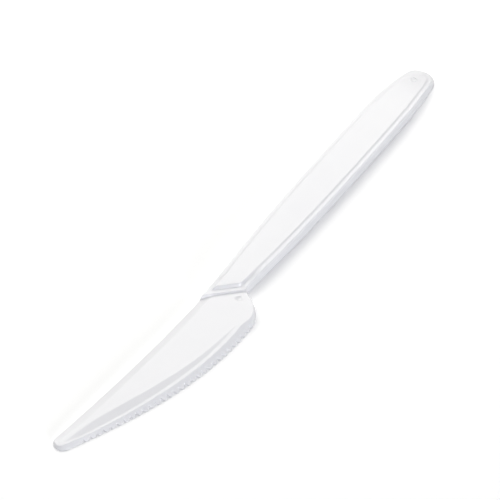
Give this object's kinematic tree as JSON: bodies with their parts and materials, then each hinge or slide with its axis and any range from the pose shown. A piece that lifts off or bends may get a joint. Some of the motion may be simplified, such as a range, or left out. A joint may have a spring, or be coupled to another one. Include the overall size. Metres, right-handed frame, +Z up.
{
  "type": "disposable plastic knife",
  "caption": "White moulded polystyrene table knife with a serrated blade, a stepped slanted neck and a hollow-backed handle with a raised middle panel.",
  "frame": {"origin": "on the table plane, below the middle of the box that holds the knife", "axes": "+X along the knife from the tip to the butt, +Y across it towards the spine, +Z up from the table"},
  "size_m": [0.172, 0.0214, 0.0042],
  "materials": {
    "white_polystyrene": "moulded gloss"
  },
  "bodies": {
    "root": {"knife": "white_polystyrene"}
  },
  "joints": []
}
